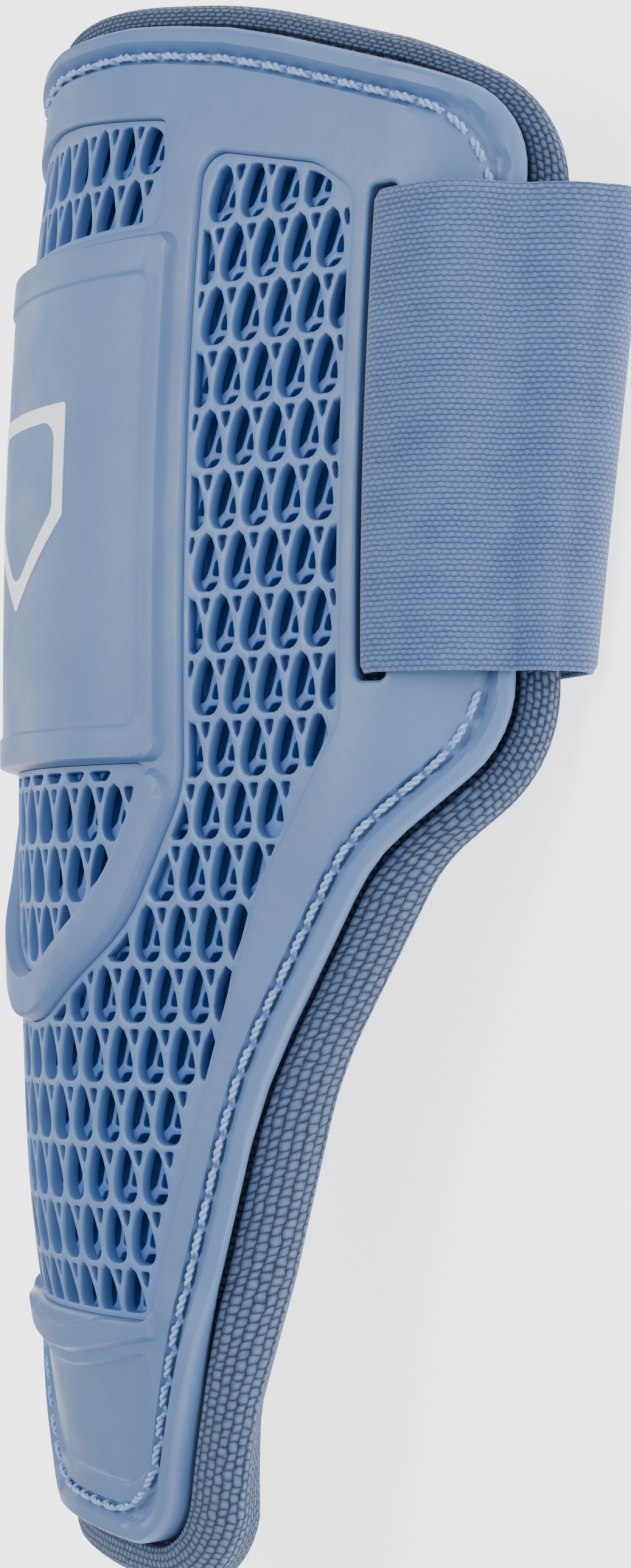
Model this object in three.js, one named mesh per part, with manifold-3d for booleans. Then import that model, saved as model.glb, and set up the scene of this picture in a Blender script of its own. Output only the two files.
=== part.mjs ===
// A baseball elbow guard: a moulded shell with honeycomb panels, on a padded liner, with an elastic strap.
// All lengths are in millimetres and all angles in degrees, unless a name says otherwise.
// The guard is drawn flat, across (u), along (v) and above the face of the shell (w). It is joined and cut
// while it is flat, and is then bent round the arm.
import * as THREE from 'three';
import { mergeVertices, toCreasedNormals } from 'three/addons/utils/BufferGeometryUtils.js';
import Module from 'manifold-3d';

const wasm = await Module();
wasm.setup();

// Driving sizes of the guard
const shellLength = 256;
const halfSpan = 98;
const crownHeight = 54.5;
const ridgeRadius = 46;
const shoulderRadius = 22;
const restTilt = 5;

// Shell
const shellThickness = 5;
const beadWidth = 3.6;
const beadHeight = 1.3;
const grooveWidth = 2.6;
const grooveDepth = 0.9;
const plateRise = 2;
const plateFieldDepth = 0.5;
const ribRise = 1.5;
const collarRise = 1.4;
const tabDepth = 0.8;
const softEdge = 0.9;

// Honeycomb
const coreRecess = 1.2;
const cellWidth = 10;
const cellPitch = 16;
const cellWall = 1.1;
const cellBelly = 0.4;
const cellFoot = 0.84;
const firstRow = 0.146;

// Liner
const linerThickness = 10;
const linerTip = 0.45;
const linerFull = 0.62;
const linerGap = 0.8;
const linerEdge = 3.2;
const linerOverTop = 4.4;
const linerOverSide = 7.4;
const linerOverWaist = 10;
const linerOverTail = 11.5;
const linerOverTip = 7.4;
const rollTop = -1.4;
const rollGap = 1;
const rollRounding = 0.4;

// Strap
const strapWidth = 75;
const strapThickness = 1.8;
const strapCentre = 0.705;
const strapTuck = 9;
const strapTurn = 6;
const strapSag = 0.25;
const slotInner = 0.741;
const slotSlack = 1.2;

// Clearance between neighbouring pieces, and how closely flat facets follow a curve
const clearance = 0.35;
const chordError = 0.5;
const creaseAcross = 8;
const creaseAlong = 31;
const creaseTail = 17;
const waist = 0.47;
const weldDistance = 1e-3;
const overlapDepth = 1;

const radians = THREE.MathUtils.degToRad;

// Sections of the shell's face, from the tip to the wide end
// Columns: place along (share of shellLength), crown (share of crownHeight), ridge (share of ridgeRadius),
// flank angle, end of the flank (share of halfSpan), side angle
const sections = [
  [-0.05, 0.74, 2.10, 24, 0.24, 46],
  [0.00, 0.77, 1.95, 26, 0.25, 50],
  [0.095, 0.853, 1.50, 30, 0.28, 58],
  [0.22, 0.957, 1.00, 34, 0.336, 64],
  [0.36, 0.99, 0.93, 34, 0.53, 65],
  [0.485, 1.00, 0.96, 33, 0.68, 66],
  [0.65, 0.995, 1.00, 33, 0.72, 68],
  [0.815, 0.956, 1.05, 33, 0.755, 70],
  [0.92, 0.90, 1.10, 32, 0.765, 72],
  [1.05, 0.815, 1.10, 32, 0.765, 72],
];

// A smooth curve through one column of the sections, at a place along the guard
function sectionValue(column, share) {
  const last = sections.length - 1;
  let i = 0;
  while (i < last - 1 && share > sections[i + 1][0]) i += 1;
  const slope = (k) => {
    const low = Math.max(k - 1, 0);
    const high = Math.min(k + 1, last);
    return (sections[high][column] - sections[low][column]) / (sections[high][0] - sections[low][0]);
  };
  const step = sections[i + 1][0] - sections[i][0];
  const t = THREE.MathUtils.clamp((share - sections[i][0]) / step, 0, 1);
  const rise = t * t * (3 - 2 * t);
  return (1 - rise) * sections[i][column] + rise * sections[i + 1][column]
    + step * t * (1 - t) * ((1 - t) * slope(i) - t * slope(i + 1));
}

function sectionAt(v) {
  const share = v / shellLength;
  const ridge = sectionValue(2, share) * ridgeRadius;
  const flank = radians(sectionValue(3, share));
  return {
    crown: sectionValue(1, share) * crownHeight,
    ridge,
    flank,
    flankEnd: Math.max(sectionValue(4, share) * halfSpan, ridge * flank),
    side: radians(sectionValue(5, share)),
  };
}

// Where a point of the flat guard comes to lie
function bend(u, v, w) {
  const { crown, ridge, flank, flankEnd, side } = sectionAt(v);
  const across = Math.abs(u);
  const ridgeArc = Math.min(across, ridge * flank);
  const flankRun = Math.min(across, flankEnd) - ridgeArc;
  const shoulderArc = THREE.MathUtils.clamp(across - flankEnd, 0, shoulderRadius * (side - flank));
  const sideRun = Math.max(across - flankEnd - shoulderArc, 0);
  const ridgeAngle = ridgeArc / ridge;
  const lean = ridgeAngle + shoulderArc / shoulderRadius;
  const x = ridge * Math.sin(ridgeAngle) + flankRun * Math.cos(flank)
    + (shoulderArc > 0 ? shoulderRadius * (Math.sin(lean) - Math.sin(flank)) : 0)
    + sideRun * Math.cos(side) + w * Math.sin(lean);
  const z = crown - ridge * (1 - Math.cos(ridgeAngle)) - flankRun * Math.sin(flank)
    - (shoulderArc > 0 ? shoulderRadius * (Math.cos(flank) - Math.cos(lean)) : 0)
    - sideRun * Math.sin(side) + w * Math.cos(lean);
  return new THREE.Vector3(u < 0 ? -x : x, v, z);
}

// Outlines are lists of corners: across, along, radius of the corner.
// The right half is written from the wide end to the tip, or round a window, and mirrored.
function mirrored(half) {
  const left = half.filter((corner) => corner[0] > 0).map(([u, v, radius]) => [-u, v, radius]);
  return [...half, ...left.reverse()];
}

function mirroredAway(corners) {
  return corners.map(([u, v, radius]) => [-u, v, radius]).reverse();
}

function roundedOutline(corners) {
  const points = [];
  corners.forEach(([u, v, radius], i) => {
    const corner = new THREE.Vector2(u, v);
    const before = corners.at(i - 1);
    const after = corners[(i + 1) % corners.length];
    const toBefore = new THREE.Vector2(before[0], before[1]).sub(corner);
    const toAfter = new THREE.Vector2(after[0], after[1]).sub(corner);
    const reach = 0.49 * Math.min(toBefore.length(), toAfter.length());
    toBefore.normalize();
    toAfter.normalize();
    const half = Math.acos(THREE.MathUtils.clamp(toBefore.dot(toAfter), -1, 1)) / 2;
    const tangent = Math.min(radius / Math.tan(half), reach);
    const r = tangent * Math.tan(half);
    if (r < chordError) {
      points.push(corner);
      return;
    }
    const centre = toBefore.clone().add(toAfter).normalize().multiplyScalar(r / Math.sin(half)).add(corner);
    const start = toBefore.clone().multiplyScalar(tangent).add(corner).sub(centre);
    const turn = Math.PI - 2 * half;
    const sense = Math.sign(toAfter.cross(toBefore));
    const steps = Math.max(1, Math.ceil(turn / (2 * Math.acos(1 - chordError / Math.max(r, 2 * chordError)))));
    for (let k = 0; k <= steps; k += 1) {
      points.push(start.clone().rotateAround(new THREE.Vector2(), (sense * turn * k) / steps).add(centre));
    }
  });
  return points;
}

// Moves each side of a ring of corners outward by its own distance; side i runs from corner i to i + 1.
// Rings are written clockwise, so outward is to the left of each side.
function offsetCorners(corners, distance) {
  const sides = corners.map(([u, v], i) => {
    const next = corners[(i + 1) % corners.length];
    const along = new THREE.Vector2(next[0] - u, next[1] - v).normalize();
    const outward = new THREE.Vector2(-along.y, along.x).multiplyScalar(distance(i));
    return { start: new THREE.Vector2(u, v).add(outward), along };
  });
  return corners.map(([, , radius], i) => {
    const a = sides.at(i - 1);
    const b = sides[i];
    const between = b.start.clone().sub(a.start);
    const t = between.cross(b.along) / a.along.cross(b.along);
    const corner = a.along.clone().multiplyScalar(t).add(a.start);
    const turnsOut = Math.sign(b.along.cross(a.along));
    const moved = (distance(i) + distance((i + corners.length - 1) % corners.length)) / 2;
    return [corner.x, corner.y, Math.max(radius + turnsOut * moved, 0)];
  });
}

function scaled(corners) {
  return corners.map(([across, along, radius]) => [across * halfSpan, along * shellLength, radius * halfSpan]);
}

// Outline tables
// Columns: across (share of halfSpan), along (share of shellLength), corner radius (share of halfSpan)
const shellEdge = mirrored(scaled([
  [0, 1, 1.5],
  [0.43, 0.976, 1.2],
  [1, 0.9, 0.15],
  [1, 0.518, 0.2],
  [0.76, 0.445, 0.4],
  [0.54, 0.304, 1],
  [0.27, 0, 0.14],
]));
const topWindow = mirrored(scaled([
  [0, 0.939, 0.6],
  [0.322, 0.922, 0.03],
  [0.322, 0.853, 0.03],
]));
const ribInside = scaled([
  [0.337, 0.509, 0.02],
  [0.23, 0.432, 0.25],
  [0, 0.361, 0.12],
]);
const ribOutside = scaled([
  [0.398, 0.492, 0.2],
  [0.275, 0.402, 0.3],
  [0, 0.328, 0.15],
]);
const flankOutside = scaled([
  [0.398, 0.898, 0.04],
  [0.63, 0.877, 0.1],
  [0.709, 0.855, 0.06],
  [0.709, 0.531, 0.08],
  [0.541, 0.422, 0.3],
  [0.296, 0.15, 0.03],
]);
const plateEdge = mirrored(scaled([
  [0.367, 0.848, 0.03],
  [0.367, 0.509, 0.03],
]));
const plateField = mirrored(scaled([
  [0.333, 0.824, 0.03],
  [0.333, 0.531, 0.04],
]));
const collarEdge = mirrored(scaled([
  [0, 0.135, 0.6],
  [0.31, 0.162, 0.01],
  [0.306, 0.139, 0.01],
  [0, 0.115, 0.6],
]));
const tabEdge = mirrored(scaled([
  [0, 0.107, 0.6],
  [0.285, 0.131, 0.02],
  [0.255, 0.038, 0.11],
]));

// A half outline that ends on the centre line, from the left end through the middle to the right end
function acrossCentre(half) {
  const left = half.slice(0, -1).map(([u, v, radius]) => [-u, v, radius]);
  return [...left, ...half.slice().reverse()];
}

const frontWindow = mirrored(ribInside);
const flankWindow = [...flankOutside, ...mirroredAway(flankOutside), ...acrossCentre(ribOutside)];
const ribBand = [
  ...ribOutside,
  ...acrossCentre(ribOutside).slice(0, 2).reverse(),
  ...acrossCentre(ribInside),
];

function inset(corners, distance) {
  return offsetCorners(corners, () => -distance);
}

// Solids in the flat guard
function toSolid(geometry) {
  const plain = geometry.clone();
  plain.deleteAttribute('uv');
  plain.deleteAttribute('normal');
  const welded = mergeVertices(plain, 1e-4);
  return new wasm.Manifold(new wasm.Mesh({
    numProp: 3,
    vertProperties: new Float32Array(welded.attributes.position.array),
    triVerts: new Uint32Array(welded.index.array),
  }));
}

function extruded(shapes, low, high, softness = 0, softSteps = 1) {
  const geometry = new THREE.ExtrudeGeometry(shapes, {
    depth: high - low - 2 * softness,
    steps: 1,
    bevelEnabled: softness > 0,
    bevelThickness: softness,
    bevelSize: softness,
    bevelOffset: -softness,
    bevelSegments: softSteps,
  });
  geometry.translate(0, 0, low + softness);
  return toSolid(geometry);
}

function block(corners, low, high, softness, softSteps) {
  return extruded(new THREE.Shape(roundedOutline(corners)), low, high, softness, softSteps);
}

// The hole runs the other way round than the outline, as an extrusion needs it
function band(outer, inner, low, high, softness, softSteps) {
  const shape = new THREE.Shape(roundedOutline(outer));
  shape.holes.push(new THREE.Path(roundedOutline(inner).reverse()));
  return extruded(shape, low, high, softness, softSteps);
}

function box(u0, u1, v0, v1, low, high) {
  return block([[u0, v1, 0], [u1, v1, 0], [u1, v0, 0], [u0, v0, 0]], low, high);
}

// Every piece bends along the same creases, so that neighbours keep their clearance
function creases(low, high, spacing) {
  const list = [];
  for (let k = Math.floor(low / spacing + 0.5) + 0.5; k * spacing < high; k += 1) list.push(k * spacing);
  return list;
}

// The tail twists most, so its creases lie closer together
function creasesAlong(low, high) {
  const change = Math.min(Math.max(waist * shellLength, low), high);
  return [...creases(low, change, creaseTail), ...creases(change, high, creaseAlong)];
}

function openEdges(triangles) {
  const edges = new Map();
  triangles.forEach((triangle, owner) => triangle.forEach((a, k) => {
    const b = triangle[(k + 1) % 3];
    edges.set(`${a},${b}`, { a, b, apex: triangle[(k + 2) % 3], owner });
  }));
  return [...edges.values()].filter(({ a, b }) => !edges.has(`${b},${a}`));
}

// Where one tile keeps a point on a crease that its neighbour leaves out, the neighbour gets it too
function stitched(points, triangles) {
  for (let open = openEdges(triangles); open.length > 0; open = openEdges(triangles)) {
    const ends = [...new Set(open.map(({ a }) => a))];
    const touched = new Set();
    for (const { a, b, apex, owner } of open) {
      const side = new THREE.Line3(points[a], points[b]);
      const between = ends.find((end) => {
        const share = side.closestPointToPointParameter(points[end], false);
        const foot = side.at(share, new THREE.Vector3());
        return end !== a && end !== b && share > 0 && share < 1 && foot.distanceTo(points[end]) < 2 * weldDistance;
      });
      if (between !== undefined && !touched.has(owner)) {
        triangles[owner] = [a, between, apex];
        triangles.push([between, b, apex]);
        touched.add(owner);
      }
    }
    if (touched.size === 0) break;
  }
  return triangles;
}

// Cuts a flat solid into tiles along the creases, drops the walls between tiles and bends the rest.
// depth gives the depth of a point before it is bent.
function bentGeometry(solid, depth = (p) => p.z) {
  const mesh = solid.getMesh();
  const reach = new THREE.Box3().setFromArray(mesh.vertProperties);
  const across = [reach.min.x - 1, ...creases(reach.min.x, reach.max.x, creaseAcross), reach.max.x + 1];
  const along = [reach.min.y - 1, ...creasesAlong(reach.min.y, reach.max.y), reach.max.y + 1];
  const corners = [];
  for (let i = 1; i < across.length; i += 1) {
    const strip = solid.intersect(
      box(across[i - 1], across[i], along[0], along.at(-1), reach.min.z - 1, reach.max.z + 1),
    );
    for (let j = 1; j < along.length; j += 1) {
      const tile = strip.intersect(
        box(across[i - 1], across[i], along[j - 1], along[j], reach.min.z - 1, reach.max.z + 1),
      ).getMesh();
      const walls = [[0, across[i - 1]], [0, across[i]], [1, along[j - 1]], [1, along[j]]];
      for (let k = 0; k < tile.triVerts.length; k += 3) {
        const triangle = [...tile.triVerts.subarray(k, k + 3)].map(
          (n) => new THREE.Vector3().fromArray(tile.vertProperties, n * tile.numProp),
        );
        const isWall = walls.some(([axis, place]) => triangle.every(
          (point) => Math.abs(point.getComponent(axis) - place) < weldDistance,
        ));
        if (!isWall) corners.push(...triangle);
      }
    }
  }
  const flat = new THREE.BufferGeometry().setFromPoints(corners);
  const welded = mergeVertices(flat, weldDistance);
  const points = [];
  for (let i = 0; i < welded.attributes.position.count; i += 1) {
    points.push(new THREE.Vector3().fromBufferAttribute(welded.attributes.position, i));
  }
  const triangles = [];
  for (let i = 0; i < welded.index.count; i += 3) triangles.push([...welded.index.array.subarray(i, i + 3)]);
  const closed = stitched(points, triangles.filter(([a, b, c]) => a !== b && b !== c && c !== a));
  return geometryOf(points.map((p) => bend(p.x, p.y, depth(p))), closed);
}

function geometryOf(points, triangles) {
  const geometry = new THREE.BufferGeometry();
  geometry.setAttribute('position', new THREE.Float32BufferAttribute(points.flatMap((p) => p.toArray()), 3));
  geometry.setIndex(triangles.flat());
  return toCreasedNormals(geometry, radians(30));
}

// Places along and across that several pieces share
const strapLift = clearance + strapThickness / 2;
const strapLow = strapCentre * shellLength - strapWidth / 2;
const strapHigh = strapCentre * shellLength + strapWidth / 2;
const slotStart = slotInner * halfSpan;
const flangeEdge = slotStart + shellThickness / 2 + strapLift + strapThickness / 2 + clearance;
const linerFace = -shellThickness - linerGap;
const linerSide = bend(halfSpan + linerOverSide, strapLow, linerFace - linerThickness + linerEdge);
const strapBack = linerSide.z - strapSag - strapThickness / 2;

function shellSolid() {
  const beadInside = inset(shellEdge, beadWidth);
  const grooveInside = inset(shellEdge, beadWidth + grooveWidth);
  let solid = block(shellEdge, -shellThickness, 0);
  solid = solid.add(band(shellEdge, beadInside, -overlapDepth, beadHeight, softEdge));
  solid = solid.subtract(band(beadInside, grooveInside, -grooveDepth, overlapDepth));
  solid = solid.add(block(plateEdge, -overlapDepth, plateRise, softEdge));
  solid = solid.subtract(block(plateField, plateRise - plateFieldDepth, plateRise + overlapDepth));
  solid = solid.add(block(ribBand, -overlapDepth, ribRise, softEdge));
  solid = solid.add(block(collarEdge, -overlapDepth, collarRise, softEdge));
  solid = solid.subtract(block(tabEdge, -tabDepth, overlapDepth));
  for (const window of [topWindow, frontWindow, flankWindow]) {
    solid = solid.subtract(block(window, -shellThickness - overlapDepth, plateRise + overlapDepth));
  }
  for (const side of [-1, 1]) {
    const edges = [side * slotStart, side * flangeEdge].sort((a, b) => a - b);
    solid = solid.subtract(box(
      edges[0], edges[1], strapLow - slotSlack, strapHigh + slotSlack,
      -shellThickness - overlapDepth, overlapDepth,
    ));
  }
  return solid;
}

// One opening of the honeycomb: a narrow crown, widest above a flat foot
function cellOutline(u, v) {
  const width = cellWidth - cellWall;
  const height = cellPitch - cellWall;
  return [
    [0, 1], [0.5, cellBelly], [cellFoot / 2, 0], [-cellFoot / 2, 0], [-0.5, cellBelly],
  ].map(([across, along]) => new THREE.Vector2(u + across * width, v + along * height));
}

function isInside(point, outline) {
  let inside = false;
  outline.forEach((a, i) => {
    const b = outline.at(i - 1);
    const crosses = (a.y > point.y) !== (b.y > point.y);
    if (crosses && point.x < ((b.x - a.x) * (point.y - a.y)) / (b.y - a.y) + a.x) inside = !inside;
  });
  return inside;
}

function coreSolid(window) {
  const edge = inset(window, clearance);
  const field = inset(window, clearance + cellWall);
  const fieldOutline = roundedOutline(field);
  const rows = Math.ceil(shellLength / cellPitch);
  const columns = Math.ceil(halfSpan / cellWidth);
  const cells = [];
  for (let row = 0; row < rows; row += 1) {
    const v = firstRow * shellLength + row * cellPitch;
    const shift = row % 2 === 0 ? 0 : 0.5;
    for (let column = -columns; column <= columns; column += 1) {
      const u = (column + shift) * cellWidth;
      const outline = cellOutline(u, v);
      const middle = new THREE.Vector2(u, v + cellBelly * cellPitch);
      if (isInside(middle, fieldOutline)) cells.push(new THREE.Shape(outline));
    }
  }
  const cut = extruded(cells, -shellThickness - overlapDepth, overlapDepth)
    .intersect(block(field, -shellThickness - 2 * overlapDepth, 2 * overlapDepth));
  return block(edge, -shellThickness, -coreRecess).subtract(cut);
}

function linerSolid() {
  const over = [
    linerOverTop, linerOverTop, linerOverSide, linerOverSide, linerOverWaist, linerOverTail, linerOverTip,
  ];
  const edge = offsetCorners(shellEdge, (i) => over[Math.min(i, shellEdge.length - 1 - i)]);
  const rollDepth = linerThickness / 2;
  const rollSoftness = rollRounding * (linerOverTop - rollGap);
  let solid = block(edge, linerFace - linerThickness, linerFace, linerEdge, 2);
  solid = solid.add(band(edge, inset(shellEdge, -rollGap), linerFace - rollDepth, rollTop, rollSoftness, 1));
  for (const side of [-1, 1]) {
    const edges = [side * (slotStart - clearance), side * (flangeEdge + strapTuck + clearance)].sort((a, b) => a - b);
    solid = solid.subtract(box(
      edges[0], edges[1], strapLow - slotSlack, strapHigh + slotSlack,
      linerFace - strapThickness - clearance, 0,
    ));
  }
  return solid;
}

// The liner thins towards the tip, on the side of the arm
function linerDepth(p) {
  const share = THREE.MathUtils.clamp(p.y / (linerFull * shellLength), 0, 1);
  const thickness = THREE.MathUtils.lerp(linerTip, 1, share);
  return p.z < linerFace ? linerFace + thickness * (p.z - linerFace) : p.z;
}

// The middle of the strap across one section, from its tucked end to the middle of its back.
// The back passes just below the liner's sides and lies level when the guard is tilted to rest on it.
function strapHalf(v) {
  const turnSteps = 8;
  const turnRadius = shellThickness / 2 + strapLift;
  const tucked = -shellThickness / 2 - turnRadius;
  const tuckEnd = flangeEdge + strapTuck;
  const flat = [tuckEnd, ...creases(flangeEdge, tuckEnd, creaseAcross).reverse()].map((u) => [u, tucked]);
  for (let k = 0; k <= turnSteps; k += 1) {
    const angle = (Math.PI * k) / turnSteps;
    flat.push([
      flangeEdge - turnRadius * Math.sin(angle),
      -shellThickness / 2 - turnRadius * Math.cos(angle),
    ]);
  }
  const beadStart = halfSpan - beadWidth;
  for (const u of [...creases(flangeEdge, beadStart, creaseAcross), beadStart]) {
    const share = (u - flangeEdge) / (beadStart - flangeEdge);
    flat.push([u, strapLift + share * beadHeight]);
  }
  flat.push([halfSpan, strapLift + beadHeight]);
  const points = flat.map(([u, w]) => {
    const point = bend(u, v, w);
    return new THREE.Vector2(point.x, point.z);
  });
  const { side } = sectionAt(v);
  const leave = points.at(-1);
  const down = new THREE.Vector2(Math.cos(side), -Math.sin(side));
  const back = strapBack - (v - strapLow) * Math.tan(radians(restTilt));
  const corner = down.clone().multiplyScalar((leave.y - back) / Math.sin(side)).add(leave);
  const turned = Math.PI - side;
  const tangent = strapTurn * Math.tan(turned / 2);
  const centre = new THREE.Vector2(corner.x - tangent, back + strapTurn);
  for (let k = 0; k <= turnSteps; k += 1) {
    const angle = Math.PI / 2 - side - (turned * k) / turnSteps;
    points.push(new THREE.Vector2(Math.cos(angle), Math.sin(angle)).multiplyScalar(strapTurn).add(centre));
  }
  points.push(new THREE.Vector2(0, back));
  return points;
}

// Between two creases the strap is as straight as the shell under it
function creasedHalf(v) {
  const around = creasesAlong(v - 2 * creaseAlong, v + 2 * creaseAlong);
  const low = around.filter((place) => place <= v).at(-1);
  const high = around.find((place) => place > v);
  const above = strapHalf(high);
  return strapHalf(low).map((p, i) => p.lerp(above[i], (v - low) / (high - low)));
}

function strapGeometry() {
  const places = [strapLow, ...creasesAlong(strapLow, strapHigh), strapHigh];
  const stations = places.length - 1;
  const rings = [];
  for (const v of places) {
    const half = creasedHalf(v);
    const middle = [...half, ...half.slice(0, -1).reverse().map((p) => new THREE.Vector2(-p.x, p.y))];
    rings.push(middle.map((p, i) => {
      const before = middle[Math.max(i - 1, 0)];
      const after = middle[Math.min(i + 1, middle.length - 1)];
      const along = after.clone().sub(before).normalize();
      const out = new THREE.Vector2(-along.y, along.x).multiplyScalar(strapThickness / 2);
      return [p.clone().add(out), p.clone().sub(out)].map((q) => new THREE.Vector3(q.x, v, q.y));
    }));
  }
  const length = rings[0].length;
  const points = rings.flat(2);
  const at = (j, i, face) => (j * length + i) * 2 + face;
  const triangles = [];
  const patch = (a, b, c, d) => triangles.push([a, b, c], [a, c, d]);
  for (let i = 0; i < length - 1; i += 1) {
    for (let j = 0; j < stations; j += 1) {
      patch(at(j, i, 0), at(j, i + 1, 0), at(j + 1, i + 1, 0), at(j + 1, i, 0));
      patch(at(j, i, 1), at(j + 1, i, 1), at(j + 1, i + 1, 1), at(j, i + 1, 1));
    }
    patch(at(0, i, 0), at(0, i, 1), at(0, i + 1, 1), at(0, i + 1, 0));
    patch(at(stations, i, 0), at(stations, i + 1, 0), at(stations, i + 1, 1), at(stations, i, 1));
  }
  for (let j = 0; j < stations; j += 1) {
    patch(at(j, 0, 0), at(j + 1, 0, 0), at(j + 1, 0, 1), at(j, 0, 1));
    const end = length - 1;
    patch(at(j, end, 0), at(j, end, 1), at(j + 1, end, 1), at(j + 1, end, 0));
  }
  return geometryOf(points, triangles);
}

const rubber = new THREE.MeshStandardMaterial({ color: 0x6f88ac, roughness: 0.55, metalness: 0 });
const latticeRubber = new THREE.MeshStandardMaterial({ color: 0x6a86b4, roughness: 0.55, metalness: 0 });
const cloth = new THREE.MeshStandardMaterial({ color: 0x485a75, roughness: 0.95, metalness: 0 });
const elastic = new THREE.MeshStandardMaterial({ color: 0x5c7499, roughness: 0.9, metalness: 0 });

const pieces = [
  ['shell', bentGeometry(shellSolid()), rubber],
  ['honeycomb_top', bentGeometry(coreSolid(topWindow)), latticeRubber],
  ['honeycomb_front', bentGeometry(coreSolid(frontWindow)), latticeRubber],
  ['honeycomb_sides', bentGeometry(coreSolid(flankWindow)), latticeRubber],
  ['liner', bentGeometry(linerSolid(), linerDepth), cloth],
  ['strap', strapGeometry(), elastic],
];

// The guard rests on the back of its strap, so it is tilted until that lies level
const guard = new THREE.Group();
guard.name = 'elbow_guard';
for (const [name, geometry, material] of pieces) {
  geometry.rotateX(radians(restTilt));
  const mesh = new THREE.Mesh(geometry, material);
  mesh.name = name;
  guard.add(mesh);
}
const bounds = new THREE.Box3().setFromObject(guard);
const middle = bounds.getCenter(new THREE.Vector3());
guard.children.forEach((mesh) => mesh.geometry.translate(-middle.x, -middle.y, -bounds.min.z));

export default guard;
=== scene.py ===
# The looks of the baseball elbow guard: satin rubber shell with two-layer honeycomb panels, woven liner,
# knitted strap, stitching in the rim's groove and a plain printed emblem.
# Forms are drawn flat, in millimetres across (u), along (v) and above the shell's face (w), and then bent.
import math

import bmesh
import bpy
import numpy as np
from mathutils import Matrix, Vector
from mathutils.geometry import delaunay_2d_cdt


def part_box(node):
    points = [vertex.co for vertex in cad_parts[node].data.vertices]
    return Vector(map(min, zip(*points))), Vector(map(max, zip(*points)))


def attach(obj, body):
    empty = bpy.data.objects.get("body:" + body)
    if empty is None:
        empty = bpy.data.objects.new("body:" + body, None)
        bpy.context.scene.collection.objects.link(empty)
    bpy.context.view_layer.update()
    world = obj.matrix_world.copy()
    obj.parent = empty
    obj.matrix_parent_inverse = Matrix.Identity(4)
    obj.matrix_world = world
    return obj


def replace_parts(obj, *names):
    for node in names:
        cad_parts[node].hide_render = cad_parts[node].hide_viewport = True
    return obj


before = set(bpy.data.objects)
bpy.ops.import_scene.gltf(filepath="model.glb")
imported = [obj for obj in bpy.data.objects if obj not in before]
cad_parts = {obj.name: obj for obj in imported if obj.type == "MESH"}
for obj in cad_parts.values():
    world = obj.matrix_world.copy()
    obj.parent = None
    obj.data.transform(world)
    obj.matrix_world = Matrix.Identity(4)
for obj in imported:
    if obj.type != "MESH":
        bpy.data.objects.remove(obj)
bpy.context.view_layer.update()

MM = 0.001

# Main sizes, as in the part's source
SHELL_LENGTH = 256
HALF_SPAN = 98
CROWN_HEIGHT = 54.5
RIDGE_RADIUS = 46
SHOULDER_RADIUS = 22
REST_TILT = math.radians(5)
SHELL_THICKNESS = 5
BEAD_WIDTH = 3.6
BEAD_HEIGHT = 1.3
GROOVE_WIDTH = 2.6
GROOVE_DEPTH = 0.9
PLATE_RISE = 2
FIELD_DEPTH = 0.5
RIB_RISE = 1.5
COLLAR_RISE = 1.4
TAB_DEPTH = 0.8
SOFT_EDGE = 0.9
CORE_RECESS = 1.2
CLEARANCE = 0.35
LINER_THICKNESS = 10
LINER_GAP = 0.8
LINER_TIP = 0.45
LINER_FULL = 0.62
LINER_FACE = -SHELL_THICKNESS - LINER_GAP
LINER_FLOOR = LINER_FACE - LINER_THICKNESS
LINER_EDGE = 3.2
LINER_OVER_SIDE = 7.4
LINER_OVER = [4.4, 4.4, LINER_OVER_SIDE, LINER_OVER_SIDE, 10, 11.5, 7.4]
ROLL_TOP = -1.4
ROLL_GAP = 1
STRAP_WIDTH = 75
STRAP_THICKNESS = 1.8
STRAP_MIDDLE = 0.705 * SHELL_LENGTH
STRAP_TUCK = 9
STRAP_TURN = 6
STRAP_SAG = 0.25
STRAP_LIFT = CLEARANCE + STRAP_THICKNESS / 2
SLOT_START = 0.741 * HALF_SPAN
SLOT_SLACK = 1.2
FLANGE_EDGE = SLOT_START + SHELL_THICKNESS / 2 + STRAP_LIFT + STRAP_THICKNESS / 2 + CLEARANCE

# Sections of the shell's face. Columns: place along (share of the length), crown and ridge (shares of their
# main sizes), flank angle, end of the flank (share of the half span), side angle
SECTIONS = np.array([
    [-0.05, 0.74, 2.10, 24, 0.24, 46],
    [0.00, 0.77, 1.95, 26, 0.25, 50],
    [0.095, 0.853, 1.50, 30, 0.28, 58],
    [0.22, 0.957, 1.00, 34, 0.336, 64],
    [0.36, 0.99, 0.93, 34, 0.53, 65],
    [0.485, 1.00, 0.96, 33, 0.68, 66],
    [0.65, 0.995, 1.00, 33, 0.72, 68],
    [0.815, 0.956, 1.05, 33, 0.755, 70],
    [0.92, 0.90, 1.10, 32, 0.765, 72],
    [1.05, 0.815, 1.10, 32, 0.765, 72],
])


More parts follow.
